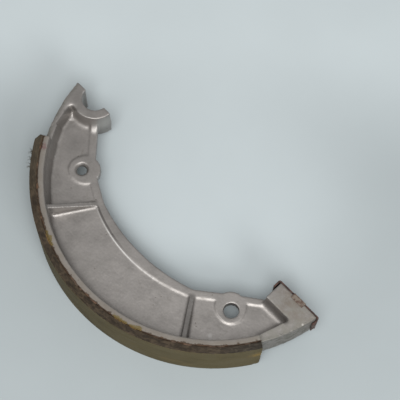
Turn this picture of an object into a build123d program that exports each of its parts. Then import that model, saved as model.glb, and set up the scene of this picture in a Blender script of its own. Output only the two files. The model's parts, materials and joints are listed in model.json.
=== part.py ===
from build123d import *
import os
from math import atan2, degrees, radians, tan

# A drum brake shoe of a motorcycle: a die-cast aluminium shoe, a friction lining bonded
# to its rim, the film of adhesive between them and the steel wear plate on its cam pad.
# The shoe lies on its side. The origin is on the axis of the anchor pin, in the shoe's
# middle plane. +X runs from the pivot end to the cam end, and the lining faces -Y.
# The casting is alike above and below its middle plane, so its upper half is made first.

# Friction lining and the adhesive under it
lining_radius = 90.0
lining_thickness = 3.8
lining_width = 30.0
bond_thickness = 0.2
cam_end_tilt = 4.8
bevel_length = 3.0
bevel_depth = 1.9

# Rim, web and inner flange of the casting
rim_thickness = 2.9
web_thickness = 3.6
flange_step = 1.2
pocket_depth = 26.5
flange_middle_width = 5.6
hub_arc_flatness = 5.0
flange_arc_taper = 17.0
draft = 3.0
foot_share = 0.83

# Straight strips that carry the flange on to the two ends
strip_width = 3.9
cam_strip_width = 3.2
pivot_strip_inset = 4.8
cam_strip_inset = 6.4

# Arms: the lower walls that carry on from the rim to the two ends
body_width = 19.5
arm_inset = 0.1
pivot_arm_length = 35.53
pivot_arm_thinning = 0.6
pivot_arm_growth = 0.9
cam_arm_length = 30.73
cam_arm_thickening = 1.0
cam_arm_growth = 1.4
shoulder_length = 9.7

# Cross ribs
rib_spring_gap = 20.04
rib_crest_width = 2.2
rib_rim_drop = 3.0
rib_root_depth = 1.2

# Return-spring holes and their bosses
spring_rim_gap = 17.1
spring_end_inset = 8.41
pivot_hole_radius = 2.5
pivot_mouth_radius = 4.2
pivot_hole_land = 1.6
cam_hole_radius = 3.7
cam_mouth_radius = 4.2
cam_hole_land = 4.6
spring_boss_radius = 6.5
spring_bulge_radius = 7.6
spring_bulge_inset = 2.0

# Half-round seat on the anchor pin, seen from the drum's axis
anchor_inset = 13.9
anchor_offset = 13.2
anchor_radius = 6.6
anchor_boss_radius = 11.4
boss_draft = 6.0
parting_gap = 0.1

# Cam pad and its steel wear plate
plate_thickness = 0.9
plate_width = 18.3
plate_proud = 0.1
pad_length = 25.0
pad_depth = 10.3
inner_hook_length = 3.6
outer_hook_length = 2.9
outer_hook_width = 11.0
hook_standoff = 0.2
hook_lean = 0.3
plate_bend_radius = 0.6
tab_thickness = 0.6
tab_length = 7.5
tab_depth = 2.0
tab_share = 0.5

# Room for cuts to run past what they cut
overrun = 2.0
tolerance = 0.01

rim_radius = lining_radius - lining_thickness - bond_thickness
rim_inner_radius = rim_radius - rim_thickness
rim_slope = tan(radians(draft))
arm_radius = rim_radius - arm_inset
rim_rise = lining_width / 2
web_rise = web_thickness / 2
flange_rise = web_rise + flange_step
flange_thickness = 2 * flange_rise
foot_radius = foot_share * flange_step
body_rise = body_width / 2
hub_arc_radius = lining_radius + hub_arc_flatness
flange_arc_radius = hub_arc_radius - flange_arc_taper
flange_arc_depth = rim_inner_radius - pocket_depth
hub_arc_depth = flange_arc_depth - flange_middle_width
spring_radius = rim_inner_radius - spring_rim_gap
anchor_reach = arm_radius - anchor_inset
pad_inner_reach = arm_radius - pad_length

# Sketches are drawn from the drum's axis, on planes square to it
drum_plane = Plane((anchor_reach, anchor_offset, 0))
drum_axis = Axis(drum_plane.origin, (0, 0, 1))


def polar(radius, angle):
    """A point of a sketch, at this distance and angle from the drum's axis."""
    return Vector(radius, 0).rotate(Axis.Z, angle)


def radial_plane(angle):
    """The upright plane through the drum's axis at this angle, x outwards and y up."""
    outward = Vector(1, 0).rotate(Axis.Z, angle)
    return Plane(drum_plane.origin, x_dir=outward, z_dir=outward.cross(Vector(0, 0, 1)))


def across_plane(radius, angle):
    """The upright plane square to the radius at this angle, y up."""
    outward = Vector(1, 0).rotate(Axis.Z, angle)
    along = outward.cross(Vector(0, 0, 1))
    return Plane(drum_plane.origin + outward * radius, x_dir=along * -1, z_dir=outward)


def ray_to_circle(angle, centre, radius):
    """The point where a ray from the drum's axis leaves this circle."""
    ray = Vector(1, 0).rotate(Axis.Z, angle)
    along = ray.dot(centre)
    return ray * (along + (along**2 + radius**2 - centre.length**2) ** 0.5)


def flange_strip(start_inner, start_outer, end, width):
    """A straight strip of the flange from the two corners that it starts at."""
    run = (end - (start_inner + start_outer) * 0.5).normalized()
    side = run.cross(Vector(0, 0, 1)) * (width / 2)
    end_inner, end_outer = sorted((end + side, end - side), key=lambda point: point.length)
    Polygon(start_inner, start_outer, end_outer, end_inner, align=None)
    return end_inner, end_outer


def arm_top(start, end, start_wall, end_wall):
    """The top of an arm between two angles, wider than the arm on its outer side."""
    Polygon(
        polar(arm_radius - start_wall, start),
        polar(arm_radius - end_wall, end),
        polar(arm_radius + overrun, end),
        polar(arm_radius + overrun, start),
        align=None,
    )


def ring_sector(inner, outer, start, end):
    """A ring sector round the drum's axis, as wide as the lining."""
    with BuildSketch(radial_plane(start)) as profile:
        with Locations((inner, -lining_width / 2)):
            Rectangle(outer - inner, lining_width, align=(Align.MIN, Align.MIN))
    revolve(profile.sketch, axis=drum_axis, revolution_arc=end - start)


parting_line = -anchor_offset - parting_gap
anchor_angle = degrees(atan2(parting_line, -arm_radius))
cam_angle = degrees(atan2(parting_line, arm_radius))
pivot_arm_wall = rim_thickness - pivot_arm_thinning
pivot_root_wall = pivot_arm_wall + pivot_arm_growth
cam_arm_wall = rim_thickness + cam_arm_thickening
cam_root_wall = cam_arm_wall + cam_arm_growth

# Angles round the drum's axis: the lining between the arms, then the springs and the ribs
pivot_lining_angle = anchor_angle + degrees(pivot_arm_length / arm_radius)
cam_lining_angle = cam_angle - degrees(cam_arm_length / arm_radius)
pivot_spring_angle = pivot_lining_angle + degrees(spring_end_inset / spring_radius)
cam_spring_angle = cam_lining_angle - degrees(spring_end_inset / spring_radius)
pivot_rib_angle = pivot_spring_angle + degrees(rib_spring_gap / spring_radius)
cam_rib_angle = cam_spring_angle - degrees(rib_spring_gap / spring_radius)
shoulder_angle = degrees(shoulder_length / arm_radius)
pivot_step_angle = pivot_lining_angle - shoulder_angle

flange_top = flange_rise + tolerance

# Middle of the flange: its two arcs end where the ribs stand
hub_arc_centre = Vector(0, hub_arc_radius - hub_arc_depth)
flange_arc_centre = Vector(0, flange_arc_radius - flange_arc_depth)
pivot_hub_inner = ray_to_circle(pivot_rib_angle, hub_arc_centre, hub_arc_radius)
pivot_hub_outer = ray_to_circle(pivot_rib_angle, flange_arc_centre, flange_arc_radius)
cam_hub_inner = ray_to_circle(cam_rib_angle, hub_arc_centre, hub_arc_radius)
cam_hub_outer = ray_to_circle(cam_rib_angle, flange_arc_centre, flange_arc_radius)
pivot_hub_middle = (pivot_hub_inner + pivot_hub_outer) * 0.5
cam_hub_middle = (cam_hub_inner + cam_hub_outer) * 0.5

# Ends of the shoe
pivot_spring = polar(spring_radius, pivot_spring_angle)
cam_spring = polar(spring_radius, cam_spring_angle)
pivot_bend = polar(spring_radius - pivot_strip_inset, pivot_spring_angle)
cam_bend = polar(spring_radius - cam_strip_inset, cam_spring_angle)
anchor = Vector(-anchor_reach, -anchor_offset)
pad_face = parting_line - plate_thickness + plate_proud
pad_foot_reach = pad_inner_reach - body_rise * rim_slope
pad_outer_reach = (arm_radius**2 - pad_face**2) ** 0.5
pad_angle = degrees(atan2(pad_face - pad_depth / 2, arm_radius))
pad_seat = Vector(pad_inner_reach + cam_strip_width, pad_face - pad_depth + cam_strip_width / 2)
plate_inner_line = pad_foot_reach - hook_standoff - plate_thickness / 2
plate_outer_line = pad_outer_reach + hook_standoff + plate_thickness / 2

# Casting, upper half
with BuildPart() as casting:
    # Flange and spring bosses
    with BuildSketch(drum_plane.offset(flange_rise)) as flange_face:
        with BuildLine():
            Line(pivot_hub_inner, pivot_hub_outer)
            ThreePointArc(pivot_hub_outer, (0, -flange_arc_depth), cam_hub_outer)
            Line(cam_hub_outer, cam_hub_inner)
            ThreePointArc(cam_hub_inner, (0, -hub_arc_depth), pivot_hub_inner)
        make_face()
        pivot_ends = flange_strip(pivot_hub_inner, pivot_hub_outer, pivot_bend, strip_width)
        flange_strip(*pivot_ends, anchor, strip_width)
        cam_ends = flange_strip(cam_hub_inner, cam_hub_outer, cam_bend, strip_width)
        flange_strip(*cam_ends, pad_seat, cam_strip_width)
        for angle in (pivot_spring_angle, cam_spring_angle):
            boss_plane = Plane(polar(spring_radius, angle), x_dir=polar(-spring_radius, angle))
            bulge_centre = polar(spring_radius - spring_bulge_inset, angle)
            make_hull(
                [
                    Edge.make_circle(spring_boss_radius, boss_plane),
                    Edge.make_circle(spring_bulge_radius, Plane(bulge_centre, x_dir=bulge_centre)),
                ]
            )
    extrude(amount=-flange_rise)

    # Web, from the flange's middle out to the rim
    with BuildSketch(drum_plane):
        Circle(rim_radius - rim_thickness / 2)
        with BuildLine():
            Polyline(
                pivot_hub_middle,
                pivot_bend,
                anchor,
                (anchor.X, 0),
                (pad_seat.X, 0),
                pad_seat,
                cam_bend,
                cam_hub_middle,
            )
            ThreePointArc(
                cam_hub_middle,
                (0, -hub_arc_depth - flange_middle_width / 2),
                pivot_hub_middle,
            )
        make_face(mode=Mode.SUBTRACT)
    extrude(amount=web_rise)

    # Arms, anchor boss and cam pad
    with BuildSketch(drum_plane.offset(body_rise)):
        arm_top(pivot_step_angle, anchor_angle, pivot_arm_wall, pivot_root_wall)
        arm_top(cam_lining_angle, pad_angle, cam_arm_wall, cam_root_wall)
    extrude(amount=-body_rise, taper=-draft)
    with BuildSketch(drum_plane.offset(body_rise)):
        with Locations((pad_inner_reach, pad_face)):
            Rectangle(arm_radius, pad_depth, align=(Align.MIN, Align.MAX))
    extrude(amount=-body_rise, taper=-draft)
    with BuildSketch(drum_plane.offset(body_rise)):
        with Locations(anchor):
            Circle(anchor_boss_radius)
    extrude(amount=-body_rise, taper=-boss_draft)

    # Outer edge of the arms, and the faces towards the other shoe
    with BuildSketch(drum_plane):
        Circle(arm_radius)
        with Locations((0, parting_line)):
            Rectangle(
                2 * arm_radius,
                arm_radius,
                align=(Align.CENTER, Align.MAX),
                mode=Mode.INTERSECT,
            )
        with Locations((pad_inner_reach - overrun, pad_face)):
            Rectangle(arm_radius, arm_radius, align=(Align.MIN, Align.MIN), mode=Mode.SUBTRACT)
    extrude(amount=body_rise, mode=Mode.INTERSECT)

    # Rim, and its lower shoulder past the lining at the pivot end
    for start, sweep, top in (
        (pivot_lining_angle, cam_lining_angle - pivot_lining_angle, rim_rise),
        (pivot_step_angle, shoulder_angle, body_rise),
    ):
        with BuildSketch(radial_plane(start)):
            with BuildLine():
                Polyline(
                    (rim_radius, 0),
                    (rim_radius, top),
                    (rim_inner_radius - (rim_rise - top) * rim_slope, top),
                    (rim_inner_radius - rim_rise * rim_slope, 0),
                    close=True,
                )
            make_face()
        revolve(axis=drum_axis, revolution_arc=sweep)

    # Cross ribs, rising from the flange to the rim
    for rib_angle, rib_root in (
        (pivot_rib_angle, pivot_hub_outer),
        (cam_rib_angle, cam_hub_outer),
    ):
        for radius, rise in (
            (rib_root.length - rib_root_depth, flange_rise),
            (rim_radius - rim_thickness / 2, rim_rise - rib_rim_drop),
        ):
            half_crest = rib_crest_width / 2
            half_foot = half_crest + rise * rim_slope
            with BuildSketch(across_plane(radius, rib_angle)):
                Polygon(
                    (-half_foot, 0),
                    (half_foot, 0),
                    (half_crest, rise),
                    (-half_crest, rise),
                    align=None,
                )
        loft()

    # Fillet along the foot of each wall that stands above the flange, then the lower half
    walls = casting.faces().filter_by(lambda face: face.bounding_box().max.Z > flange_top)
    wall_edges = walls.edges()
    feet = wall_edges.filter_by_position(Axis.Z, web_rise - tolerance, web_rise + tolerance)
    fillet(feet, radius=foot_radius)
    mirror(about=Plane.XY)

    # Half-round anchor seat
    with BuildSketch(drum_plane.offset(-body_rise)):
        with Locations(anchor):
            Circle(anchor_radius)
    extrude(amount=body_width, mode=Mode.SUBTRACT)

    # Spring holes, each opened out towards both faces
    for centre, hole_radius, mouth_radius, land in (
        (pivot_spring, pivot_hole_radius, pivot_mouth_radius, pivot_hole_land),
        (cam_spring, cam_hole_radius, cam_mouth_radius, cam_hole_land),
    ):
        with BuildSketch(drum_plane.offset(-flange_rise)):
            with Locations(centre):
                Circle(hole_radius)
        extrude(amount=flange_thickness, mode=Mode.SUBTRACT)
        for side in (-1, 1):
            with BuildSketch(drum_plane.offset(side * flange_rise)):
                with Locations(centre):
                    Circle(mouth_radius)
            with BuildSketch(drum_plane.offset(side * land / 2)):
                with Locations(centre):
                    Circle(hole_radius)
            loft(mode=Mode.SUBTRACT)

# Friction lining, bevelled at the pivot end and cut askew at the cam end
with BuildPart() as lining:
    ring_sector(
        lining_radius - lining_thickness,
        lining_radius,
        pivot_lining_angle,
        cam_lining_angle,
    )
    bevel_angle = degrees(bevel_length / lining_radius)
    with BuildSketch(drum_plane.offset(-rim_rise)):
        Polygon(
            polar(lining_radius - bevel_depth, pivot_lining_angle),
            polar(lining_radius, pivot_lining_angle + bevel_angle),
            polar(lining_radius + overrun, pivot_lining_angle + bevel_angle),
            polar(lining_radius + overrun, pivot_lining_angle - bevel_angle),
            polar(lining_radius - bevel_depth, pivot_lining_angle - bevel_angle),
            align=None,
        )
    extrude(amount=lining_width, mode=Mode.SUBTRACT)
    outward = polar(lining_radius, cam_lining_angle)
    along = Vector(0, 1).rotate(Axis.Z, cam_lining_angle)
    end_plane = Plane(
        drum_plane.origin + outward + Vector(0, 0, rim_rise),
        z_dir=along.rotate(Axis((0, 0, 0), outward), cam_end_tilt),
    )
    split(bisect_by=end_plane, keep=Keep.BOTTOM)

# Adhesive, a film on the whole of the rim
with BuildPart() as adhesive:
    ring_sector(rim_radius, rim_radius + bond_thickness, pivot_lining_angle, cam_lining_angle)

# Wear plate: flat on the pad's face, both ends hooked over its edges, with a tab on each side
with BuildPart() as plate:
    with BuildSketch(drum_plane):
        with BuildLine():
            FilletPolyline(
                (plate_inner_line, pad_face - inner_hook_length),
                (plate_inner_line, pad_face + plate_thickness / 2),
                (plate_outer_line, pad_face + plate_thickness / 2),
                (plate_outer_line - hook_lean, pad_face - outer_hook_length),
                radius=plate_bend_radius,
            )
        trace(line_width=plate_thickness)
    extrude(amount=plate_width / 2, both=True)
    hook_end = (plate_outer_line - plate_thickness, pad_face)
    for side in (-1, 1):
        with BuildSketch(drum_plane.offset(side * outer_hook_width / 2)):
            with Locations(hook_end):
                Rectangle(pad_depth, outer_hook_length + overrun, align=(Align.MIN, Align.MAX))
        extrude(amount=side * plate_width, mode=Mode.SUBTRACT)
    tab_reach = pad_inner_reach + (pad_outer_reach - pad_inner_reach) * tab_share
    for side in (-1, 1):
        with BuildSketch(drum_plane.offset(side * body_rise)):
            with Locations((tab_reach, pad_face + plate_thickness)):
                Rectangle(tab_length, plate_thickness + tab_depth, align=(Align.CENTER, Align.MAX))
        extrude(amount=side * tab_thickness)
        with BuildSketch(drum_plane):
            with Locations((tab_reach, pad_face + plate_thickness)):
                Rectangle(tab_length, plate_thickness, align=(Align.CENTER, Align.MAX))
        extrude(amount=side * (body_rise + tab_thickness))

os.makedirs("parts", exist_ok=True)
casting.part.label = "shoe_casting"
lining.part.label = "friction_lining"
adhesive.part.label = "bond_adhesive"
plate.part.label = "cam_wear_plate"
export_step(casting.part, "parts/shoe_casting.step")
export_step(lining.part, "parts/friction_lining.step")
export_step(adhesive.part, "parts/bond_adhesive.step")
export_step(plate.part, "parts/cam_wear_plate.step")
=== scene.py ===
import json
import random
from math import atan2, cos, radians, sin

import bpy
from bpy.props import FloatProperty, FloatVectorProperty, IntProperty, PointerProperty
from mathutils import Matrix, Vector

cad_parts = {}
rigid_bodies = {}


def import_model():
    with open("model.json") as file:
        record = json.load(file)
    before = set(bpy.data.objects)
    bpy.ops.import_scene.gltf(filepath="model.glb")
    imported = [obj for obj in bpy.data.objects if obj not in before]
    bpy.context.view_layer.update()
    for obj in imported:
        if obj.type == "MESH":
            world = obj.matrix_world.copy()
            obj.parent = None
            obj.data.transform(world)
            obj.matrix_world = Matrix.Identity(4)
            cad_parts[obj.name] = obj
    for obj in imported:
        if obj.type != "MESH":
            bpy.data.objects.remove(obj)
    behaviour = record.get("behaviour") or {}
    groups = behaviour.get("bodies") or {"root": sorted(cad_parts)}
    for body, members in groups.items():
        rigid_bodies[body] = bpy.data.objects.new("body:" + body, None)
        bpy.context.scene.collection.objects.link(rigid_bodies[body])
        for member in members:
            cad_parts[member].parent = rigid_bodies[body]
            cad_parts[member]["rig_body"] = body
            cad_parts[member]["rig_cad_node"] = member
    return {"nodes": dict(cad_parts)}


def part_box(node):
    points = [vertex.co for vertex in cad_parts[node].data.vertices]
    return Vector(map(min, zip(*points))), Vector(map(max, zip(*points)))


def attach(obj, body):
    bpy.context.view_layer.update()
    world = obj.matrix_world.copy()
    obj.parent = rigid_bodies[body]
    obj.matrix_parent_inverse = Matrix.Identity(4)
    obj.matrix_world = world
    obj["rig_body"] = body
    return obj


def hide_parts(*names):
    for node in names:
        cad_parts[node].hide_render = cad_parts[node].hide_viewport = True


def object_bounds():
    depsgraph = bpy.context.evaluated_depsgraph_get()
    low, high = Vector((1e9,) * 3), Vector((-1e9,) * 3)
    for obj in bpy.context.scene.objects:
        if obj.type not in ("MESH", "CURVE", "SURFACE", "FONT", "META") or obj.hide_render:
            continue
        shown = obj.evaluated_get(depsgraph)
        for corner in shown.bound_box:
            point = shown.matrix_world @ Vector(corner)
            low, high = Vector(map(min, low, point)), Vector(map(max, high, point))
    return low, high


bl_info = {
    "name": "Drum brake shoe",
    "version": (1, 0, 0),
    "blender": (4, 5, 0),
    "location": "View3D > Sidebar > Brake Shoe",
    "description": "Builds a used drum brake shoe, its materials and the stage it lies on",
    "category": "Add Mesh",
}

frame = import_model()
CAD_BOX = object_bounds()
PLATE_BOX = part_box("cam_wear_plate")

# The drum's axis in the shoe's frame, and the plane that the shoe lies on
DRUM = Vector((0.072, 0.0132, 0.0))
FLOOR_Z = CAD_BOX[0][2]

# Radii round the drum's axis, and the angles at which the lining ends
LINING_RADIUS = DRUM.y - CAD_BOX[0][1]
LINING_MIDDLE = 0.088
RIM_RADIUS = 0.086
RIM_WALL_RADIUS = 0.0824
PIVOT_LINING_ANGLE = radians(-147.5)
CAM_LINING_ANGLE = radians(-29.3)

# Heights over the middle plane of the web, the flange, the arms and the rim
WEB_RISE = 0.0018
FLANGE_RISE = 0.003
ARM_RISE = 0.0098
RIM_RISE = 0.015

# The arc of the flange's edge in the middle pocket
FLANGE_ARC = Vector((0.072, 0.0346, 0.0))
FLANGE_ARC_RADIUS = 0.078

# Straight feet that line the rim's curved wall from the pivot pocket to the second rib. The
# first of them, in the pivot pocket, are slopes, and the rest are fillets.
RIM_FEET = 16
RIM_FEET_START = -151
RIM_FEET_STEP = 6.15
RIM_SLOPES = 5
RIM_SLOPE_LENGTH = 0.0090
RIM_FILLET_LENGTH = 0.0088

# Feet that line the anchor boss, whose axis is the frame's origin
BOSS_FEET = 4
BOSS_FEET_START = -108
BOSS_FEET_STEP = 17
BOSS_RADIUS = 0.0121
BOSS_FOOT_LENGTH = 0.0042

# Single feet: the middle of each, the way it faces and its length
PIVOT_ARM_FOOT = (Vector((-0.0041, -0.0184, 0)), Vector((0.964, 0.265, 0)), 0.0120)
CAM_ARM_FOOT = (Vector((0.1453, -0.0199, 0)), Vector((-0.953, 0.302, 0)), 0.0140)
STRIP_END_FOOT = (Vector((0.00811, -0.00844, 0)), Vector((0.693, -0.721, 0)), 0.0039)
PAD_FOOT = (Vector((0.14085, -0.01145, 0)), Vector((0, -1, 0)), 0.0163)

# How high slopes rise, the share of their reach that the narrow ones have, and how far a foot
# is sunk into its wall
SLOPE_HEIGHT = 0.0085
NARROW_SLOPE = 0.72
FOOT_OVERLAP = 0.0012

# The hollowed block that rounds the corner between the pivot arm and the anchor boss
CORNER_BLOCK = Vector((-0.00617, -0.01057, 0))
CORNER_BLOCK_SIZE = (0.0046, 0.00367, 0.0193)
CORNER_BLOCK_TURN = radians(-45.6)
CORNER_HOLLOW = Vector((-0.00385, -0.01294, 0))
CORNER_HOLLOW_RADIUS = 0.0021

# Upright corners of the end pockets that are smoothed, and how far round each
POCKET_CORNERS = (
    (Vector((-0.0048, -0.0124)), 0.0036),
    (Vector((0.1478, -0.0118)), 0.0024),
)

# Sides of the round cutters, and their length, which is past that of any foot
CUTTER_SIDES = 96
CUTTER_LENGTH = 0.06

# How near to each other points are merged, mesh sizes of the remeshed skins, and the most
# triangles that the casting keeps
MERGE_DISTANCE = 0.000002
LINING_SKIN = 0.00042
PLATE_SKIN = 0.00018
CASTING_TRIANGLES = 190000

# Places of marks on the casting: stain, dull arm, nick, painted light on the boss's side, and red
# mark
PLATE_TOP = Vector(((PLATE_BOX[0][0] + PLATE_BOX[1][0]) / 2, PLATE_BOX[1][1], ARM_RISE))
CAM_ARM = Vector((0.1520, -0.0150, ARM_RISE))
BRIGHT_NICK = Vector((0.1545, -0.0083, ARM_RISE))
PAINTED_LIGHT_BOSS_SIDE = Vector((0.0125, -0.0050, 0.0040))
RED_MARK = Vector((0.0040, -0.0372, RIM_RISE))

# Where the lining is worn to amber at its cam end
AMBER_CORNER = DRUM + Vector((0.0772, -0.0460, 0.0040))

# Clumps of torn strands on the lining: middle and spread in degrees, and how many. A strand has
# so many steps, and each is thinner than the one before by this factor.
STRAND_CLUMPS = ((-141.3, 0.9, 9), (-136.3, 0.5, 6), (-139.0, 0.8, 4))
STRAND_STEPS = 4
STRAND_TAPER = 0.62

# Beads of glue: shortest and longest share of the full length, the ranges of width, height and
# place across the joint, and how far all are lifted so that the lower ones clear the floor
BEAD_SHARES = (0.25, 1.0)
BEAD_WIDTHS = (0.0004, 0.0011)
BEAD_HEIGHTS = (0.0003, 0.0006)
BEAD_OFFSETS = (-0.0003, 0.0005)
BEAD_LIFT = 0.0001

# Where thick amber glue shows between the rim and the lining, and how far it spreads
AMBER_PLACES = (
    (Vector((0.0414, -0.0669, RIM_RISE)), 0.0062),
    (Vector((0.0943, -0.0701, RIM_RISE)), 0.0058),
    (Vector((0.1020, -0.0672, RIM_RISE)), 0.0048),
)

# The camera: focal length in pixels, picture width in pixels and sensor width in millimetres
FOCAL_PIXELS = 1257.93
PICTURE_PIXELS = 400
SENSOR = 36

# The floor's width, and the way across it from the viewer to the far side
FLOOR_SIZE = 4.0
FAR_SIDE = (-0.679, 0.734, 0.0)


# Helpers for pieces

def deselect():
    """Leave edit mode with nothing selected."""
    if bpy.context.object and bpy.context.object.mode != "OBJECT":
        bpy.ops.object.mode_set(mode="OBJECT")
    bpy.ops.object.select_all(action="DESELECT")


def make_active(piece):
    """Select one piece alone and make it the active one."""
    deselect()
    piece.select_set(True)
    bpy.context.view_layer.objects.active = piece


def on_ring(radius, angle, height):
    """A point at this distance and angle from the drum's axis."""
    return DRUM + Vector((radius * cos(angle), radius * sin(angle), height))


def copy_of_node(node, name):
    """A copy of a CAD node with its loose triangles merged into one skin."""
    source = frame["nodes"][node]
    make_active(source)
    bpy.ops.object.duplicate()
    piece = bpy.context.object
    piece.name = name
    piece.parent = None
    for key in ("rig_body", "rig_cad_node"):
        if key in piece:
            del piece[key]
    piece.data.materials.clear()
    make_active(piece)
    bpy.ops.object.mode_set(mode="EDIT")
    bpy.ops.mesh.select_all(action="SELECT")
    bpy.ops.mesh.remove_doubles(threshold=MERGE_DISTANCE)
    bpy.ops.object.mode_set(mode="OBJECT")
    return piece


def apply_modifier(piece, kind, **settings):
    """Add one modifier, set it up and apply it."""
    make_active(piece)
    modifier = piece.modifiers.new(kind.lower(), kind)
    for name, value in settings.items():
        setattr(modifier, name, value)
    bpy.ops.object.modifier_apply(modifier=modifier.name)


def clouds(name, size):
    """A soft cloud texture that the Displace modifier roughens a surface with."""
    texture = bpy.data.textures.new(name, "CLOUDS")
    texture.noise_scale = size
    texture.noise_depth = 3
    return texture


def select_vertices(piece, wanted):
    """Enter edit mode with only the vertices selected that wanted(place) picks."""
    make_active(piece)
    bpy.ops.object.mode_set(mode="EDIT")
    bpy.ops.mesh.select_mode(type="VERT")
    bpy.ops.mesh.select_all(action="DESELECT")
    bpy.ops.object.mode_set(mode="OBJECT")
    for vertex in piece.data.vertices:
        vertex.select = wanted(vertex.co)
    bpy.ops.object.mode_set(mode="EDIT")


def assign_group(piece, name, wanted):
    """A vertex group of the vertices that wanted(place) picks."""
    piece.vertex_groups.new(name=name)
    select_vertices(piece, wanted)
    bpy.ops.object.vertex_group_assign()
    bpy.ops.object.mode_set(mode="OBJECT")
    return name


def block(place, length, width, height, turn):
    """An upright block, turned in plan by this angle."""
    deselect()
    bpy.ops.mesh.primitive_cube_add(size=1, location=place, rotation=(0, 0, turn))
    piece = bpy.context.object
    piece.scale = (length, width, height)
    bpy.ops.object.transform_apply(location=True, rotation=True, scale=True)
    return piece


def hollow(piece, place, axis, radius):
    """Cut a round hollow along this axis out of a piece."""
    deselect()
    bpy.ops.mesh.primitive_cylinder_add(
        vertices=CUTTER_SIDES, radius=radius, depth=CUTTER_LENGTH, location=place,
        rotation=axis.to_track_quat("Z", "Y").to_euler())
    cutter = bpy.context.object
    apply_modifier(piece, "BOOLEAN", object=cutter, operation="DIFFERENCE", solver="EXACT")
    bpy.data.objects.remove(cutter)


def foot_fillet(middle, outward, length, base, radius):
    """Two wide fillets, over and under the web, that run along the foot of a straight wall."""
    top = base + radius
    piece = block(
        middle + outward * (radius - FOOT_OVERLAP) / 2, radius + FOOT_OVERLAP, length, 2 * top,
        atan2(outward.y, outward.x))
    for side in (-1, 1):
        hollow(
            piece, middle + outward * radius + Vector((0, 0, side * top)),
            Vector((-outward.y, outward.x, 0)), radius)
    return piece


def foot_slope(middle, outward, length, reach, height):
    """Two steep slopes, over and under the web, that widen the foot of a straight wall."""
    halves = []
    for side in (-1, 1):
        half = block(
            middle + outward * (reach - FOOT_OVERLAP) / 2 + Vector((0, 0, side * height / 2)),
            reach + FOOT_OVERLAP, length, height, atan2(outward.y, outward.x))
        select_vertices(half, lambda place: (
            abs(place.z) > height / 2 and (place - middle).dot(outward) > 0))
        bpy.ops.transform.translate(value=-outward * reach)
        bpy.ops.object.mode_set(mode="OBJECT")
        halves.append(half)
    return join_pieces(halves)


def wall_feet(radius, reach):
    """Fillets and slopes at the feet of the rim, the two arms and the anchor boss."""
    feet = []
    for number in range(RIM_FEET):
        angle = radians(RIM_FEET_START + RIM_FEET_STEP * number)
        outward = Vector((-cos(angle), -sin(angle), 0))
        foot = on_ring(RIM_WALL_RADIUS, angle, 0)
        if number < RIM_SLOPES:
            lean = reach * (NARROW_SLOPE if number == 0 else 1.0)
            feet.append(foot_slope(foot, outward, RIM_SLOPE_LENGTH, lean, SLOPE_HEIGHT))
        else:
            feet.append(foot_fillet(foot, outward, RIM_FILLET_LENGTH, WEB_RISE, radius))
    for number in range(BOSS_FEET):
        angle = radians(BOSS_FEET_START + BOSS_FEET_STEP * number)
        outward = Vector((cos(angle), sin(angle), 0))
        feet.append(foot_fillet(
            outward * BOSS_RADIUS, outward, BOSS_FOOT_LENGTH, WEB_RISE, radius))
    feet.append(foot_slope(*PIVOT_ARM_FOOT, reach * NARROW_SLOPE, SLOPE_HEIGHT))
    feet.append(foot_fillet(*CAM_ARM_FOOT, WEB_RISE, radius))
    return feet


def strand(name, root, steps, thickness):
    """A bent strand that tapers, from its root along these steps."""
    deselect()
    bpy.ops.mesh.primitive_circle_add(
        vertices=6, radius=thickness, fill_type="NGON", location=root,
        rotation=steps[0].to_track_quat("Z", "Y").to_euler())
    piece = bpy.context.object
    piece.name = name
    bpy.ops.object.transform_apply(location=True, rotation=True, scale=True)
    bpy.ops.object.mode_set(mode="EDIT")
    bpy.ops.mesh.select_all(action="SELECT")
    tip = Vector(root)
    for step in steps:
        tip += step
        bpy.ops.mesh.extrude_region_move(TRANSFORM_OT_translate={"value": step})
        bpy.ops.transform.resize(value=[STRAND_TAPER] * 3, center_override=tip)
    bpy.ops.mesh.select_all(action="SELECT")
    bpy.ops.mesh.normals_make_consistent(inside=False)
    bpy.ops.object.mode_set(mode="OBJECT")
    return piece


def join_pieces(pieces):
    """Join pieces into the first of them."""
    deselect()
    for piece in pieces:
        piece.select_set(True)
    bpy.context.view_layer.objects.active = pieces[0]
    bpy.ops.object.join()
    return pieces[0]


def finish_piece(piece, node, material):
    """Give a piece its material and body, and hide its CAD node."""
    if not piece.data.polygons:
        raise RuntimeError(piece.name + " has no faces")
    piece.data.materials.clear()
    piece.data.materials.append(material)
    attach(piece, "root")
    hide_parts(node)


# Helpers for materials

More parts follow.
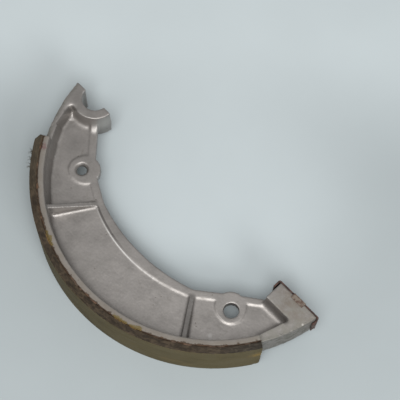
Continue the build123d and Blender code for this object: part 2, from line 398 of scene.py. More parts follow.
class Surface:
    """A node material, written from its shader's inputs backwards."""

    def __init__(self, name):
        self.material = bpy.data.materials.new(name)
        self.material.use_nodes = True
        self.tree = self.material.node_tree
        self.shader = self.tree.nodes["Principled BSDF"]
        self.place = self.add("ShaderNodeTexCoord").outputs["Object"]

    def add(self, kind, values=None, **settings):
        """A new node; values are linked to its sockets or written on them."""
        node = self.tree.nodes.new(kind)
        for name, value in settings.items():
            setattr(node, name, value)
        for socket, value in (values or {}).items():
            if isinstance(value, bpy.types.NodeSocket):
                self.tree.links.new(value, node.inputs[socket])
            else:
                node.inputs[socket].default_value = value
        return node

    def centred(self):
        """Coordinates from the drum's axis."""
        return self.add("ShaderNodeMapping", {"Vector": self.place, "Location": -DRUM}).outputs[0]

    def noise(self, size, detail=3.0, roughness=0.5, distortion=0.0, place=None):
        """Noise whose blobs are about this many metres across."""
        return self.add("ShaderNodeTexNoise", {
            "Vector": place or self.place, "Scale": 1 / size, "Detail": detail,
            "Roughness": roughness, "Distortion": distortion}).outputs["Fac"]

    def spots(self, size):
        """Distance from the nearest of many points that lie about this far apart."""
        return self.add("ShaderNodeTexVoronoi", {
            "Vector": self.place, "Scale": 1 / size}).outputs["Distance"]

    def range(self, value, low, high, to_low=0.0, to_high=1.0):
        """A value eased from one range into another and held at its ends."""
        return self.add("ShaderNodeMapRange", {
            "Value": value, "From Min": low, "From Max": high,
            "To Min": to_low, "To Max": to_high}, interpolation_type="SMOOTHSTEP").outputs[0]

    def math(self, operation, first, second=0.0):
        """The result of one operation on two values."""
        return self.add("ShaderNodeMath", {0: first, 1: second}, operation=operation).outputs[0]

    def times(self, first, second):
        """Two values multiplied."""
        return self.math("MULTIPLY", first, second)

    def plus(self, first, second):
        """Two values added."""
        return self.math("ADD", first, second)

    def within(self, value, far, near):
        """1 where a value is nearer to zero than the second width, 0 past the first."""
        return self.range(self.math("ABSOLUTE", value), far, near)

    def mix(self, share, first, second, blend="MIX"):
        """The first colour, with a share of the second over it."""
        node = self.add("ShaderNodeMix", {0: share}, data_type="RGBA", blend_type=blend)
        for socket, value in ((6, first), (7, second)):
            if isinstance(value, bpy.types.NodeSocket):
                self.tree.links.new(value, node.inputs[socket])
            else:
                node.inputs[socket].default_value = (*value, 1)
        return node.outputs[2]

    def shade(self, colour, factor):
        """A colour made darker or lighter by a factor that varies."""
        grey = self.add("ShaderNodeCombineColor", {0: factor, 1: factor, 2: factor})
        return self.mix(1.0, colour, grey.outputs[0], "MULTIPLY")

    def polar(self):
        """Radius, arc length and height round the drum's axis."""
        x, y, z = self.add("ShaderNodeSeparateXYZ", {0: self.centred()}).outputs
        radius = self.math("SQRT", self.plus(self.times(x, x), self.times(y, y)))
        arc = self.times(self.math("ARCTAN2", x, y), RIM_RADIUS)
        return radius, arc, z

    def along(self, arc, across, height, stretch):
        """Coordinates drawn out round the drum, for streaks."""
        return self.add("ShaderNodeCombineXYZ", {
            0: self.math("DIVIDE", arc, stretch), 1: across, 2: height}).outputs[0]

    def near(self, point, size):
        """1 at one point of the object, 0 from this distance on."""
        gap = self.add("ShaderNodeVectorMath", {0: self.place, 1: point}, operation="DISTANCE")
        return self.range(gap.outputs["Value"], 0.0, size, 1.0, 0.0)

    def bump(self, height, distance):
        """Relief of this height, drawn by the shading alone."""
        node = self.add("ShaderNodeBump", {"Height": height, "Distance": distance, "Strength": 1.0})
        self.link(node.outputs[0], "Normal")

    def link(self, value, name):
        """Join a varying value to one of the shader's inputs."""
        self.tree.links.new(value, self.shader.inputs[name])

    def set(self, **values):
        """Write values that are the same all over on the shader's own inputs."""
        for name, value in values.items():
            self.shader.inputs[name.replace("_", " ")].default_value = value


# Sizes and colours that a user would change

class BrakeShoeCasting(bpy.types.PropertyGroup):
    """The die-cast shoe."""
    skin_size: FloatProperty(
        name="Skin size", description="Mesh size of the cast skin",
        default=0.00042, unit="LENGTH", precision=5)
    edge_softening: IntProperty(
        name="Edge softening", description="Passes that round the edges of the casting",
        default=3, min=0)
    flange_rise: FloatProperty(
        name="Flange rise", description="Height of the soft flange over the middle plane",
        default=0.0022, unit="LENGTH", precision=4)
    flange_softening: IntProperty(
        name="Flange softening", description="Passes that round the flange's low step",
        default=3, min=0)
    foot_softening: IntProperty(
        name="Foot softening", description="Passes that round the feet of the high walls",
        default=16, min=0)
    corner_softening: IntProperty(
        name="Corner softening", description="Passes that round the pockets' upright corners",
        default=45, min=0)
    strip_fillet: FloatProperty(
        name="Strip fillet", description="Radius of the flange's run up to the anchor boss",
        default=0.0050, unit="LENGTH", precision=4)
    wall_fillet: FloatProperty(
        name="Wall fillet", description="Radius at the feet of the pockets' walls",
        default=0.0023, unit="LENGTH", precision=4)
    wall_slope: FloatProperty(
        name="Wall slope", description="How far the walls of the pivot pocket lean out at the foot",
        default=0.0024, unit="LENGTH", precision=4)
    pad_fillet: FloatProperty(
        name="Pad fillet", description="Radius at the foot of the cam pad",
        default=0.0035, unit="LENGTH", precision=4)
    edge_wear: FloatProperty(
        name="Edge wear", description="Depth of the knocks along the arms' outer edges",
        default=0.0005, unit="LENGTH", precision=4)
    unevenness: FloatProperty(
        name="Unevenness", description="How far the cast skin waves in and out",
        default=0.00009, unit="LENGTH", precision=5)
    metal: FloatVectorProperty(
        name="Metal", description="Colour of the bare casting",
        default=(0.280, 0.263, 0.249), subtype="COLOR")
    dull_metal: FloatVectorProperty(
        name="Dull metal", description="Colour of its dull, oxidised patches",
        default=(0.240, 0.226, 0.213), subtype="COLOR")
    grime: FloatVectorProperty(
        name="Grime", description="Colour of the dirt in its corners and pits",
        default=(0.12, 0.105, 0.085), subtype="COLOR")


class BrakeShoeLining(bpy.types.PropertyGroup):
    """The friction lining."""
    cut_roughness: FloatProperty(
        name="Cut roughness", description="Depth of the chips in the cut sides",
        default=0.00025, unit="LENGTH", precision=5)
    end_chips: FloatProperty(
        name="End chips", description="Depth of the chips at the cam end",
        default=0.0007, unit="LENGTH", precision=5)
    strand_length: FloatProperty(
        name="Strand length", description="Length of the torn strands near the pivot end",
        default=0.0030, unit="LENGTH", precision=5)
    strand_thickness: FloatProperty(
        name="Strand thickness", description="Radius of a torn strand at its root",
        default=0.00021, unit="LENGTH", precision=5)
    friction_face: FloatVectorProperty(
        name="Friction face", description="Colour of the worn face",
        default=(0.068, 0.054, 0.023), subtype="COLOR")
    friction_streak: FloatVectorProperty(
        name="Streaks", description="Colour of the paler streaks on the worn face",
        default=(0.098, 0.080, 0.040), subtype="COLOR")
    cut_side: FloatVectorProperty(
        name="Cut side", description="Colour of the cut sides",
        default=(0.020, 0.0145, 0.0095), subtype="COLOR")
    fibre: FloatVectorProperty(
        name="Fibre", description="Colour of the fibres in the cut sides",
        default=(0.056, 0.041, 0.026), subtype="COLOR")


class BrakeShoeAdhesive(bpy.types.PropertyGroup):
    """The adhesive under the lining and what was pressed out of the joint."""
    beads: IntProperty(
        name="Beads", description="Number of pressed-out beads on each side",
        default=30, min=1)
    bead_length: FloatProperty(
        name="Bead length", description="Length of the longest bead",
        default=0.0045, unit="LENGTH")
    amber: FloatVectorProperty(
        name="Amber", description="Colour of thick adhesive",
        default=(0.165, 0.112, 0.032), subtype="COLOR")
    burnt: FloatVectorProperty(
        name="Burnt", description="Colour of thin, baked adhesive",
        default=(0.050, 0.030, 0.018), subtype="COLOR")


class BrakeShoeWearPlate(bpy.types.PropertyGroup):
    """The steel plate on the cam pad."""
    steel: FloatVectorProperty(
        name="Steel", description="Colour of the bare steel",
        default=(0.15, 0.125, 0.105), subtype="COLOR")
    dark_rust: FloatVectorProperty(
        name="Dark rust", description="Colour of the thick rust",
        default=(0.030, 0.015, 0.012), subtype="COLOR")
    light_rust: FloatVectorProperty(
        name="Light rust", description="Colour of the thin rust",
        default=(0.075, 0.036, 0.026), subtype="COLOR")


class BrakeShoeStage(bpy.types.PropertyGroup):
    """The floor, the light and the camera."""
    view_distance: FloatProperty(
        name="View distance", description="From the camera to the floor along the view",
        default=0.6419, unit="LENGTH")
    view_elevation: FloatProperty(
        name="View elevation", description="Angle of the view above the floor",
        default=radians(69.329), subtype="ANGLE")
    view_turn: FloatProperty(
        name="View turn", description="Where the picture's right points, from +X round to +Y",
        default=atan2(0.6790, 0.7341), subtype="ANGLE")
    view_roll: FloatProperty(
        name="View roll", description="Turn of the camera about its own view",
        default=radians(3.450), subtype="ANGLE")
    view_centre: FloatVectorProperty(
        name="View centre", description="Point of the floor in the middle of the picture",
        default=(DRUM.x - 0.002541, DRUM.y - 0.006096, FLOOR_Z), subtype="TRANSLATION")
    lens: FloatProperty(
        name="Lens", description="Focal length in millimetres on a 36 mm sensor",
        default=FOCAL_PIXELS / PICTURE_PIXELS * SENSOR, subtype="DISTANCE_CAMERA")
    sky: FloatProperty(
        name="Sky", description="Strength of the even light from all round",
        default=0.45, min=0)
    key_power: FloatProperty(
        name="Key power", description="Power of the large lamp above",
        default=8.5, min=0, unit="POWER")
    low_power: FloatProperty(
        name="Low power", description="Power of the low lamp on the viewer's side",
        default=5.0, min=0, unit="POWER")
    floor: FloatVectorProperty(
        name="Floor", description="Colour of the middle of the floor",
        default=(0.413, 0.457, 0.470), subtype="COLOR")
    # Painted shade: the floor away from the middle is drawn darker
    floor_edge_shade: FloatVectorProperty(
        name="Floor edge", description="Colour of the floor away from the middle",
        default=(0.325, 0.360, 0.369), subtype="COLOR")
    # Painted light: the floor towards the far side is drawn paler
    floor_far_light: FloatVectorProperty(
        name="Far floor", description="Colour of the floor on the far side",
        default=(0.455, 0.503, 0.516), subtype="COLOR")


# Materials

def cast_aluminium(sizes):
    """Die-cast skin: dull patches, fine grain, pits, dirty smears, glue by the lining."""
    skin = Surface("cast_aluminium")
    patches = skin.range(skin.noise(0.014, 6.0, 0.6, 0.4), 0.30, 0.70)
    colour = skin.mix(patches, sizes.dull_metal, sizes.metal)
    grain = skin.range(skin.noise(0.0011, 3.0, 0.6), 0.3, 0.7, 0.95, 1.04)
    colour = skin.shade(colour, grain)

    # Bright where the surface turns over an edge, with dirty smears and pits here and there
    turning = skin.add("ShaderNodeNewGeometry").outputs["Pointiness"]
    rubbed = skin.times(skin.range(turning, 0.51, 0.60),
                        skin.range(skin.noise(0.004, 4.0), 0.35, 0.65, 0.15, 0.6))
    colour = skin.mix(rubbed, colour, (0.46, 0.45, 0.435))
    smear = skin.range(skin.noise(0.009, 6.0, 0.65, 1.2), 0.58, 0.74, 0.0, 0.30)
    colour = skin.mix(smear, colour, sizes.grime)
    pits = skin.times(skin.range(skin.spots(0.0022), 0.10, 0.20, 0.75, 0.0),
                      skin.range(skin.noise(0.010, 2.0), 0.58, 0.66))
    colour = skin.mix(pits, colour, sizes.grime)

    # The flange's edge in the middle pocket gets a painted highlight, with a line of painted shade
    # beside it
    x, y, z = skin.add("ShaderNodeSeparateXYZ", {0: skin.place}).outputs
    flat = skin.add("ShaderNodeCombineXYZ", {0: x, 1: y}).outputs[0]
    gap = skin.add("ShaderNodeVectorMath", {0: flat, 1: FLANGE_ARC}, operation="DISTANCE")
    gap = skin.math("SUBTRACT", gap.outputs["Value"], FLANGE_ARC_RADIUS)
    along = skin.times(skin.range(x, 0.0405, 0.0425), skin.range(x, 0.100, 0.060))
    along = skin.times(along, skin.within(z, 0.0030, 0.0026))
    # A dark line of painted shade beside the flange's step
    shaded = skin.times(skin.within(skin.plus(gap, 0.0006), 0.0007, 0.0003),
                        skin.range(x, 0.078, 0.050, 0.0, 0.8))
    colour = skin.mix(skin.times(shaded, along), colour, (0.080, 0.075, 0.070))
    # A painted highlight along the flange's crest
    painted_highlight = skin.times(skin.within(skin.math("SUBTRACT", gap, 0.0003), 0.0004, 0.0002),
                        skin.range(x, 0.044, 0.058, 0.25, 0.70))
    colour = skin.mix(skin.times(painted_highlight, along), colour, (0.62, 0.61, 0.59))

    # Dirt and lining dust creep in over the outer edge of the rim, unevenly
    radius, _, height = skin.polar()
    reach = skin.plus(radius, skin.range(
        skin.noise(0.0040, 6.0, 0.7), 0.35, 0.70, 0.0, 0.0016))
    over = skin.range(skin.math("ABSOLUTE", height), 0.0100, 0.0140)
    crust = skin.times(over, skin.range(reach, RIM_RADIUS + 0.0003, RIM_RADIUS + 0.0007))
    film = skin.times(over, skin.range(reach, RIM_RADIUS - 0.0034, RIM_RADIUS, 0.25, 0.8))
    colour = skin.mix(film, colour, (0.138, 0.118, 0.095))
    colour = skin.mix(skin.times(crust, 0.9), colour, (0.050, 0.034, 0.022))
    spread = skin.times(over, skin.range(reach, RIM_RADIUS - 0.0008, RIM_RADIUS - 0.0002))
    for place, size in AMBER_PLACES:
        patch = skin.times(skin.near(place, size), spread)
        colour = skin.mix(skin.range(patch, 0.15, 0.35, 0.0, 0.9), colour, (0.115, 0.086, 0.030))

    # The arms' outer sides are dirty and specked
    side = skin.times(skin.range(radius, 0.0832, 0.0854), skin.range(over, 0.0, 0.2, 1.0, 0.0))
    dirt = skin.times(side, skin.range(
        skin.noise(0.0042, 6.0, 0.75, 0.5), 0.40, 0.62, 0.30, 0.95))
    colour = skin.mix(dirt, colour, (0.084, 0.083, 0.070))
    specks = skin.times(skin.range(skin.spots(0.0020), 0.10, 0.26, 0.8, 0.0),
                        skin.range(skin.noise(0.0060, 4.0), 0.46, 0.60))
    colour = skin.mix(skin.times(side, specks), colour, (0.045, 0.040, 0.033))

    # The cam arm's faces are dulled and nicked, and the anchor boss's side gets painted light,
    # drawn paler where it faces the lamps
    dulled = skin.times(skin.range(skin.near(CAM_ARM, 0.026), 0.0, 0.5), skin.range(
        skin.noise(0.0036, 6.0, 0.75), 0.38, 0.60, 0.20, 0.85))
    dulled = skin.times(dulled, skin.range(height, 0.0090, 0.0096))
    colour = skin.mix(dulled, colour, (0.172, 0.165, 0.144))
    colour = skin.mix(skin.near(BRIGHT_NICK, 0.0009), colour, (0.55, 0.53, 0.50))
    # Painted light: the boss's side wall is drawn paler
    painted_boss_light = skin.times(skin.near(PAINTED_LIGHT_BOSS_SIDE, 0.0095), skin.range(height, 0.0093, 0.0088))
    colour = skin.mix(skin.times(painted_boss_light, 0.9), colour, (0.40, 0.39, 0.37))

    # Rust has run from the wear plate, and there is a red mark on the rim
    stain = skin.times(skin.near(PLATE_TOP, 0.0200), skin.range(
        skin.noise(0.0035, 6.0, 0.7), 0.36, 0.66))
    colour = skin.mix(skin.times(stain, 0.75), colour, (0.150, 0.120, 0.092))
    red = skin.times(skin.near(RED_MARK, 0.0028), skin.range(skin.noise(0.0012, 2.0), 0.44, 0.56))
    colour = skin.mix(skin.times(red, 0.7), colour, (0.13, 0.055, 0.060))
    skin.link(colour, "Base Color")

    rough = skin.range(skin.noise(0.012, 5.0, 0.6), 0.3, 0.7, 0.40, 0.56)
    soiled = skin.math("MAXIMUM", skin.math("MAXIMUM", crust, film),
                       skin.math("MAXIMUM", dirt, dulled))
    rough = skin.plus(rough, skin.times(soiled, 0.42))
    skin.link(skin.plus(rough, skin.times(pits, 0.3)), "Roughness")
    skin.link(skin.range(soiled, 0.0, 1.0, 0.82, 0.15), "Metallic")
    grit = skin.plus(skin.times(skin.noise(0.0010, 3.0, 0.6), 0.7),
                     skin.times(skin.noise(0.0045, 4.0, 0.55), 1.4))
    grit = skin.plus(grit, skin.times(soiled, skin.noise(0.0007, 4.0, 0.7)))
    skin.bump(skin.math("SUBTRACT", grit, pits), 0.00007)
    return skin.material


def friction_material(sizes):
    """Moulded lining: a worn, streaked face, and dark cut sides full of fibres and chips."""
    body = Surface("friction_lining")
    radius, arc, height = body.polar()
    streaks = body.noise(0.0016, 5.0, 0.65, 0.0, body.along(arc, radius, height, 22.0))
    patches = body.noise(0.016, 4.0, 0.6, 0.6)
    worn = body.mix(body.range(streaks, 0.30, 0.74), sizes.friction_face, sizes.friction_streak)
    worn = body.mix(body.range(patches, 0.50, 0.72, 0.0, 0.55), worn, (0.052, 0.043, 0.024))
    ochre = body.range(body.noise(0.011, 3.0, 0.5, 0.0, body.along(arc, radius, height, 2.0)),
                       0.60, 0.72, 0.0, 0.5)
    worn = body.mix(ochre, worn, (0.125, 0.088, 0.034))
    corner = body.times(body.near(AMBER_CORNER, 0.0060), body.range(
        body.noise(0.003, 5.0, 0.7), 0.40, 0.56))
    worn = body.mix(corner, worn, (0.17, 0.115, 0.035))
    specks = body.range(body.spots(0.0014), 0.12, 0.24, 0.8, 0.0)
    worn = body.mix(specks, worn, (0.06, 0.05, 0.032))

    fibres = body.noise(0.0011, 6.0, 0.75, 0.8, body.along(arc, radius, height, 3.0))
    cut = body.mix(body.range(fibres, 0.42, 0.62), sizes.cut_side, sizes.fibre)
    blotches = body.noise(0.0075, 5.0, 0.7, 0.5)
    cut = body.mix(body.range(blotches, 0.50, 0.62, 0.0, 0.5), cut, (0.020, 0.015, 0.010))
    cut = body.mix(body.range(blotches, 0.46, 0.36, 0.0, 0.3), cut, (0.054, 0.041, 0.028))
    olive = body.near(on_ring(LINING_MIDDLE, PIVOT_LINING_ANGLE, RIM_RISE), 0.040)
    cut = body.mix(body.times(olive, 0.4), cut, (0.066, 0.057, 0.040))
    grey = body.near(on_ring(LINING_MIDDLE, CAM_LINING_ANGLE, RIM_RISE), 0.030)
    cut = body.mix(body.times(grey, 0.7), cut, body.mix(
        body.range(fibres, 0.46, 0.60), (0.020, 0.018, 0.015), (0.055, 0.050, 0.040)))
    stained = body.times(body.range(radius, RIM_RADIUS + 0.0014, RIM_RADIUS),
                         body.range(body.noise(0.005, 6.0, 0.7), 0.40, 0.58))
    cut = body.mix(body.times(stained, 0.5), cut, (0.070, 0.040, 0.022))
    for place, size in AMBER_PLACES:
        amber = body.times(body.near(place, size), stained)
        cut = body.mix(body.range(amber, 0.15, 0.40, 0.0, 0.9), cut, (0.140, 0.088, 0.032))
    face = body.range(radius, LINING_RADIUS - 0.0005, LINING_RADIUS - 0.0002)
    turned = body.add("ShaderNodeSeparateXYZ", {
        0: body.add("ShaderNodeTexCoord").outputs["Normal"]}).outputs[2]
    face = body.times(face, body.range(body.math("ABSOLUTE", turned), 0.35, 0.75, 1, 0))
    body.link(body.mix(face, cut, worn), "Base Color")

    crumbs = body.noise(0.0007, 5.0, 0.7)
    body.bump(body.plus(body.times(streaks, 0.6), crumbs), 0.00013)
    body.link(body.range(patches, 0.3, 0.7, 0.72, 0.90), "Roughness")
    body.set(Specular_IOR_Level=0.2)
    return body.material


def amber_adhesive(sizes):
    """Baked adhesive, glassy where it is thick."""
    glue = Surface("amber_adhesive")
    colour = glue.mix(glue.range(glue.noise(0.004, 5.0, 0.6), 0.45, 0.65),
                      sizes.burnt, (0.085, 0.045, 0.024))
    for place, size in AMBER_PLACES:
        colour = glue.mix(glue.range(glue.near(place, size), 0.10, 0.35), colour, sizes.amber)
    dust = glue.range(glue.noise(0.0008, 3.0, 0.6), 0.50, 0.70, 0.0, 0.6)
    glue.link(glue.mix(dust, colour, (0.10, 0.07, 0.045)), "Base Color")
    glue.link(glue.range(dust, 0.0, 0.6, 0.60, 0.85), "Roughness")
    glue.set(Specular_IOR_Level=0.3)
    glue.bump(glue.noise(0.0011, 4.0, 0.6), 0.00012)
    return glue.material


def rusty_steel(sizes):
    """Thin steel, mostly under dark rust, bare where it was rubbed."""
    steel = Surface("rusty_steel")
    scale = steel.noise(0.0026, 6.0, 0.65, 0.7)
    colour = steel.mix(steel.range(scale, 0.40, 0.62), sizes.dark_rust, sizes.light_rust)
    bare = steel.range(steel.noise(0.0048, 5.0, 0.6), 0.56, 0.66)
    colour = steel.mix(bare, colour, sizes.steel)
    crust = steel.range(steel.noise(0.0006, 4.0, 0.7), 0.52, 0.66, 0.0, 0.7)
    colour = steel.mix(crust, colour, (0.035, 0.018, 0.014))
    height = steel.add("ShaderNodeSeparateXYZ", {0: steel.place}).outputs[2]
    tab = steel.range(steel.math("ABSOLUTE", height), 0.0097, 0.0100)
    tan = steel.mix(steel.range(scale, 0.42, 0.58), (0.165, 0.138, 0.110), (0.070, 0.042, 0.030))
    steel.link(steel.mix(steel.times(tab, 0.85), colour, tan), "Base Color")
    steel.link(steel.times(bare, 0.7), "Metallic")
    steel.link(steel.range(bare, 0.0, 1.0, 0.82, 0.45), "Roughness")
    steel.bump(steel.plus(scale, steel.noise(0.0006, 4.0, 0.7)), 0.00010)
    return steel.material


def pale_floor(sizes):
    """Smooth pale paper with painted light: darker away from the middle and paler towards the far
    side, as the light falls off.
    """
    paper = Surface("pale_floor")
    radius, _, _ = paper.polar()
    # Painted light falloff: darker away from the middle, paler towards the far side
    colour = paper.mix(paper.range(radius, 0.030, 0.098), sizes.floor, sizes.floor_edge_shade)
    far = paper.add("ShaderNodeVectorMath", {
        0: paper.centred(), 1: FAR_SIDE}, operation="DOT_PRODUCT").outputs["Value"]
    colour = paper.mix(paper.range(far, 0.010, 0.095), colour, sizes.floor_far_light)
    cloud = paper.range(paper.noise(0.06, 3.0), 0.3, 0.7, 0.985, 1.015)
    paper.link(paper.shade(colour, cloud), "Base Color")
    paper.set(Roughness=0.85, Specular_IOR_Level=0.15)
    return paper.material


# Places on the casting

def on_flange_face(place):
    """The flat faces of the flange."""
    return abs(abs(place.z) - FLANGE_RISE) < 0.00002


def on_flange_step(place):
    """The low step between the flange and the web, and the flange's own edges."""
    return abs(place.z) < 0.0036 and (place - DRUM).xy.length < 0.0775


def on_wall_foot(place):
    """The inner corner where the web meets the rim, the arms and the anchor boss."""
    if abs(place.z) > 0.0080:
        return False
    reach = (place - DRUM).xy.length
    by_rim = 0.0762 < reach < 0.0848
    by_anchor = 0.0105 < place.xy.length < 0.0165 and place.y < 0
    return by_rim or by_anchor


def on_arm_edge(place):
    """The outer edges of the two arms, past the ends of the lining."""
    return 0.0084 < abs(place.z) < 0.0099 and (place - DRUM).xy.length > 0.0846


def in_pocket_corner(place):
    """The upright corners where an arm meets the anchor boss and the cam pad."""
    return abs(place.z) < 0.0105 and any(
        (place.xy - corner).length < reach for corner, reach in POCKET_CORNERS)


# Pieces

class BRAKESHOE_OT_casting(bpy.types.Operator):
    """Make the die-cast shoe, with the soft edges and uneven skin of a casting"""
    bl_idname = "brake_shoe.casting"
    bl_label = "Casting"

    def execute(self, context):
        sizes = context.scene.brake_shoe_casting
        piece = copy_of_node("shoe_casting", "cast_shoe")
        select_vertices(piece, on_flange_face)
        bpy.ops.transform.resize(
            value=(1, 1, sizes.flange_rise / FLANGE_RISE), center_override=(0, 0, 0))
        bpy.ops.object.mode_set(mode="OBJECT")

        # Fillers that the remesh below melts into the casting as wide fillets
        corner = block(CORNER_BLOCK, *CORNER_BLOCK_SIZE, CORNER_BLOCK_TURN)
        hollow(corner, CORNER_HOLLOW, Vector((0, 0, 1)), CORNER_HOLLOW_RADIUS)
        strip_end = foot_fillet(*STRIP_END_FOOT, sizes.flange_rise, sizes.strip_fillet)
        pad_foot = foot_fillet(*PAD_FOOT, WEB_RISE, sizes.pad_fillet)
        feet = wall_feet(sizes.wall_fillet, sizes.wall_slope)
        join_pieces([piece, corner, strip_end, pad_foot, *feet])

        apply_modifier(piece, "REMESH", mode="VOXEL", voxel_size=sizes.skin_size)
        apply_modifier(piece, "SMOOTH", factor=0.5, iterations=sizes.edge_softening)
        for name, wanted, passes in (
            ("flange_step", on_flange_step, sizes.flange_softening),
            ("wall_feet", on_wall_foot, sizes.foot_softening),
            ("pocket_corners", in_pocket_corner, sizes.corner_softening),
        ):
            group = assign_group(piece, name, wanted)
            apply_modifier(piece, "SMOOTH", factor=0.5, iterations=passes, vertex_group=group)

        apply_modifier(
            piece, "DISPLACE", texture=clouds("cast_skin", 0.007),
            strength=sizes.unevenness, mid_level=0.9)
        edges = assign_group(piece, "arm_edges", on_arm_edge)
        apply_modifier(
            piece, "DISPLACE", texture=clouds("knocks", 0.0021),
            strength=sizes.edge_wear, mid_level=0.72, vertex_group=edges)
        share = CASTING_TRIANGLES / (2 * len(piece.data.polygons))
        apply_modifier(piece, "DECIMATE", ratio=min(1.0, share))
        make_active(piece)
        bpy.ops.object.shade_smooth()
        apply_modifier(piece, "WEIGHTED_NORMAL", mode="FACE_AREA", weight=50)
        finish_piece(piece, "shoe_casting", cast_aluminium(sizes))
        return {"FINISHED"}


class BRAKESHOE_OT_lining(bpy.types.Operator):
    """Make the friction lining, chipped along its cut sides"""
    bl_idname = "brake_shoe.lining"
    bl_label = "Lining"

    def execute(self, context):
        sizes = context.scene.brake_shoe_lining
        piece = copy_of_node("friction_lining", "lining")
        apply_modifier(piece, "REMESH", mode="VOXEL", voxel_size=LINING_SKIN)
        apply_modifier(piece, "SMOOTH", factor=0.5, iterations=1)
        sides = assign_group(
            piece, "cut_sides",
            lambda place: (place - DRUM).xy.length < LINING_RADIUS - 0.0003)
        apply_modifier(
            piece, "DISPLACE", texture=clouds("cut_chips", 0.0011),
            strength=sizes.cut_roughness, mid_level=0.85, vertex_group=sides)
        end = assign_group(
            piece, "cam_end",
            lambda place: place.x > 0.140 and (place - DRUM).xy.angle_signed(
                Vector((cos(CAM_LINING_ANGLE), sin(CAM_LINING_ANGLE)))) > radians(-2.2))
        apply_modifier(
            piece, "DISPLACE", texture=clouds("end_chips", 0.0026),
            strength=sizes.end_chips, mid_level=0.75, vertex_group=end)

        # Torn strands along the outer edge near the pivot end
        chance = random.Random(11)
        strands = [piece]
        for middle, spread, count in STRAND_CLUMPS:
            for number in range(count):
                angle = radians(middle + chance.uniform(-spread, spread))
                root = on_ring(LINING_RADIUS - 0.0003, angle, chance.uniform(0.0128, 0.0147))
                steps = []
                for part in range(STRAND_STEPS):
                    turn = angle + chance.uniform(-1.3, 1.3)
                    rise = chance.uniform(-0.5, 0.15)
                    step = Vector((cos(turn), sin(turn), rise))
                    steps.append(step * sizes.strand_length / STRAND_STEPS)
                strands.append(strand("strand", root, steps, sizes.strand_thickness))
        piece = join_pieces(strands)
        make_active(piece)
        bpy.ops.object.shade_smooth_by_angle(angle=radians(40))
        finish_piece(piece, "friction_lining", friction_material(sizes))
        return {"FINISHED"}


class BRAKESHOE_OT_adhesive(bpy.types.Operator):
    """Make the adhesive under the lining and the beads pressed out of the joint"""
    bl_idname = "brake_shoe.adhesive"
    bl_label = "Adhesive"

    def execute(self, context):
        sizes = context.scene.brake_shoe_adhesive
        film = copy_of_node("bond_adhesive", "adhesive_line")
        chance = random.Random(7)
        deselect()
        bpy.ops.mesh.primitive_ico_sphere_add(subdivisions=3, radius=0.5)
        pattern = context.object
        beads = []
        for side in (-1, 1):
            for number in range(sizes.beads):
                angle = chance.uniform(PIVOT_LINING_ANGLE + 0.02, CAM_LINING_ANGLE - 0.02)
                length = sizes.bead_length * chance.uniform(*BEAD_SHARES)
                width = chance.uniform(*BEAD_WIDTHS)
                make_active(pattern)
                bpy.ops.object.duplicate()
                bead = context.object
                rise = chance.uniform(*BEAD_HEIGHTS)
                bead.scale = (width, length, rise)
                bead.rotation_euler = (0, 0, angle)
                bead.location = on_ring(
                    RIM_RADIUS + chance.uniform(*BEAD_OFFSETS), angle,
                    side * (-FLOOR_Z - rise / 2) + BEAD_LIFT)
                beads.append(bead)
        deselect()
        bpy.data.objects.remove(pattern)
        for bead in beads:
            bead.select_set(True)
        context.view_layer.objects.active = beads[0]
        bpy.ops.object.transform_apply(location=True, rotation=True, scale=True)
        join_pieces(beads)
        apply_modifier(
            beads[0], "DISPLACE", texture=clouds("bead_lumps", 0.0009),
            strength=0.0003, mid_level=0.7)
        join_pieces([film, beads[0]])
        bpy.ops.object.shade_smooth_by_angle(angle=radians(50))
        finish_piece(film, "bond_adhesive", amber_adhesive(sizes))
        return {"FINISHED"}


class BRAKESHOE_OT_wear_plate(bpy.types.Operator):
    """Make the wear plate on the cam pad"""
    bl_idname = "brake_shoe.wear_plate"
    bl_label = "Wear plate"

    def execute(self, context):
        sizes = context.scene.brake_shoe_wear_plate
        piece = copy_of_node("cam_wear_plate", "wear_plate")
        apply_modifier(piece, "REMESH", mode="VOXEL", voxel_size=PLATE_SKIN)
        apply_modifier(piece, "SMOOTH", factor=0.5, iterations=2)
        apply_modifier(
            piece, "DISPLACE", texture=clouds("rust_scale", 0.0008),
            strength=0.00008, mid_level=0.9)
        make_active(piece)
        bpy.ops.object.shade_smooth()
        finish_piece(piece, "cam_wear_plate", rusty_steel(sizes))
        return {"FINISHED"}


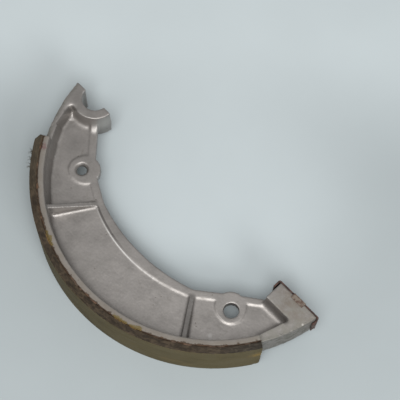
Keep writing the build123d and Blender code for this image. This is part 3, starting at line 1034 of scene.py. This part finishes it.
class BRAKESHOE_OT_stage(bpy.types.Operator):
    """Make the floor, the lights and the camera"""
    bl_idname = "brake_shoe.stage"
    bl_label = "Stage"

    def execute(self, context):
        sizes = context.scene.brake_shoe_stage
        deselect()
        bpy.ops.mesh.primitive_plane_add(size=FLOOR_SIZE, location=(DRUM.x, DRUM.y, FLOOR_Z))
        floor = context.object
        floor.name = "floor"
        bpy.ops.object.transform_apply(location=True, rotation=True, scale=True)
        floor.data.materials.append(pale_floor(sizes))

        # Camera, placed by its elevation, the direction of the picture's right, and its roll
        right = Vector((cos(sizes.view_turn), sin(sizes.view_turn), 0))
        level = Vector((-sin(sizes.view_turn), cos(sizes.view_turn), 0))
        back = level * -cos(sizes.view_elevation) + Vector((0, 0, sin(sizes.view_elevation)))
        up = back.cross(right)
        side = right * cos(sizes.view_roll) + up * sin(sizes.view_roll)
        head = up * cos(sizes.view_roll) - right * sin(sizes.view_roll)
        place = Vector(sizes.view_centre) + back * sizes.view_distance
        bpy.ops.object.camera_add()
        camera = context.object
        camera.name = "camera"
        turn = Matrix((side, head, back)).transposed().to_4x4()
        camera.matrix_world = Matrix.Translation(place) @ turn
        camera.data.sensor_width = SENSOR
        camera.data.lens = sizes.lens
        camera.data.clip_start = 0.01
        context.scene.camera = camera

        # Soft light: an even sky, a large lamp above and a low one from the viewer's side
        world = bpy.data.worlds.new("studio")
        context.scene.world = world
        world.use_nodes = True
        sky = world.node_tree.nodes["Background"].inputs
        sky["Color"].default_value = (1, 1, 1, 1)
        sky["Strength"].default_value = sizes.sky
        for name, sideways, forwards, height, size, power in (
            ("key_light", -0.05, -0.42, 0.90, 0.55, sizes.key_power),
            ("low_light", 0.42, -0.82, 0.55, 0.35, sizes.low_power),
        ):
            place = right * sideways + level * forwards + Vector((0, 0, height))
            bpy.ops.object.light_add(type="AREA", location=DRUM + place)
            lamp = context.object
            lamp.name = name
            lamp.data.energy = power
            lamp.data.size = size
            lamp.rotation_euler = place.to_track_quat("Z", "Y").to_euler()
        context.scene.view_settings.view_transform = "Standard"
        return {"FINISHED"}


class BRAKESHOE_PT_panel(bpy.types.Panel):
    """The shoe's pieces, in the order they are made"""
    bl_idname = "BRAKESHOE_PT_panel"
    bl_label = "Brake Shoe"
    bl_space_type = "VIEW_3D"
    bl_region_type = "UI"
    bl_category = "Brake Shoe"

    def draw(self, context):
        layout = self.layout
        for name, group in GROUPS.items():
            layout.operator("brake_shoe." + name)
            for size in group.__annotations__:
                layout.prop(getattr(context.scene, "brake_shoe_" + name), size)


GROUPS = {
    "casting": BrakeShoeCasting,
    "lining": BrakeShoeLining,
    "adhesive": BrakeShoeAdhesive,
    "wear_plate": BrakeShoeWearPlate,
    "stage": BrakeShoeStage,
}

CLASSES = (
    *GROUPS.values(),
    BRAKESHOE_OT_casting,
    BRAKESHOE_OT_lining,
    BRAKESHOE_OT_adhesive,
    BRAKESHOE_OT_wear_plate,
    BRAKESHOE_OT_stage,
    BRAKESHOE_PT_panel,
)


def register():
    """Add the classes, and the sizes of each piece to the scene."""
    for cls in CLASSES:
        bpy.utils.register_class(cls)
    for name, group in GROUPS.items():
        setattr(bpy.types.Scene, "brake_shoe_" + name, PointerProperty(type=group))


def unregister():
    """Take the sizes and the classes away again."""
    for name in GROUPS:
        delattr(bpy.types.Scene, "brake_shoe_" + name)
    for cls in reversed(CLASSES):
        bpy.utils.unregister_class(cls)


def main():
    """Make the pieces and the stage in order."""
    register()
    bpy.ops.brake_shoe.casting()
    bpy.ops.brake_shoe.lining()
    bpy.ops.brake_shoe.adhesive()
    bpy.ops.brake_shoe.wear_plate()
    bpy.ops.brake_shoe.stage()


if __name__ == "__main__":
    main()
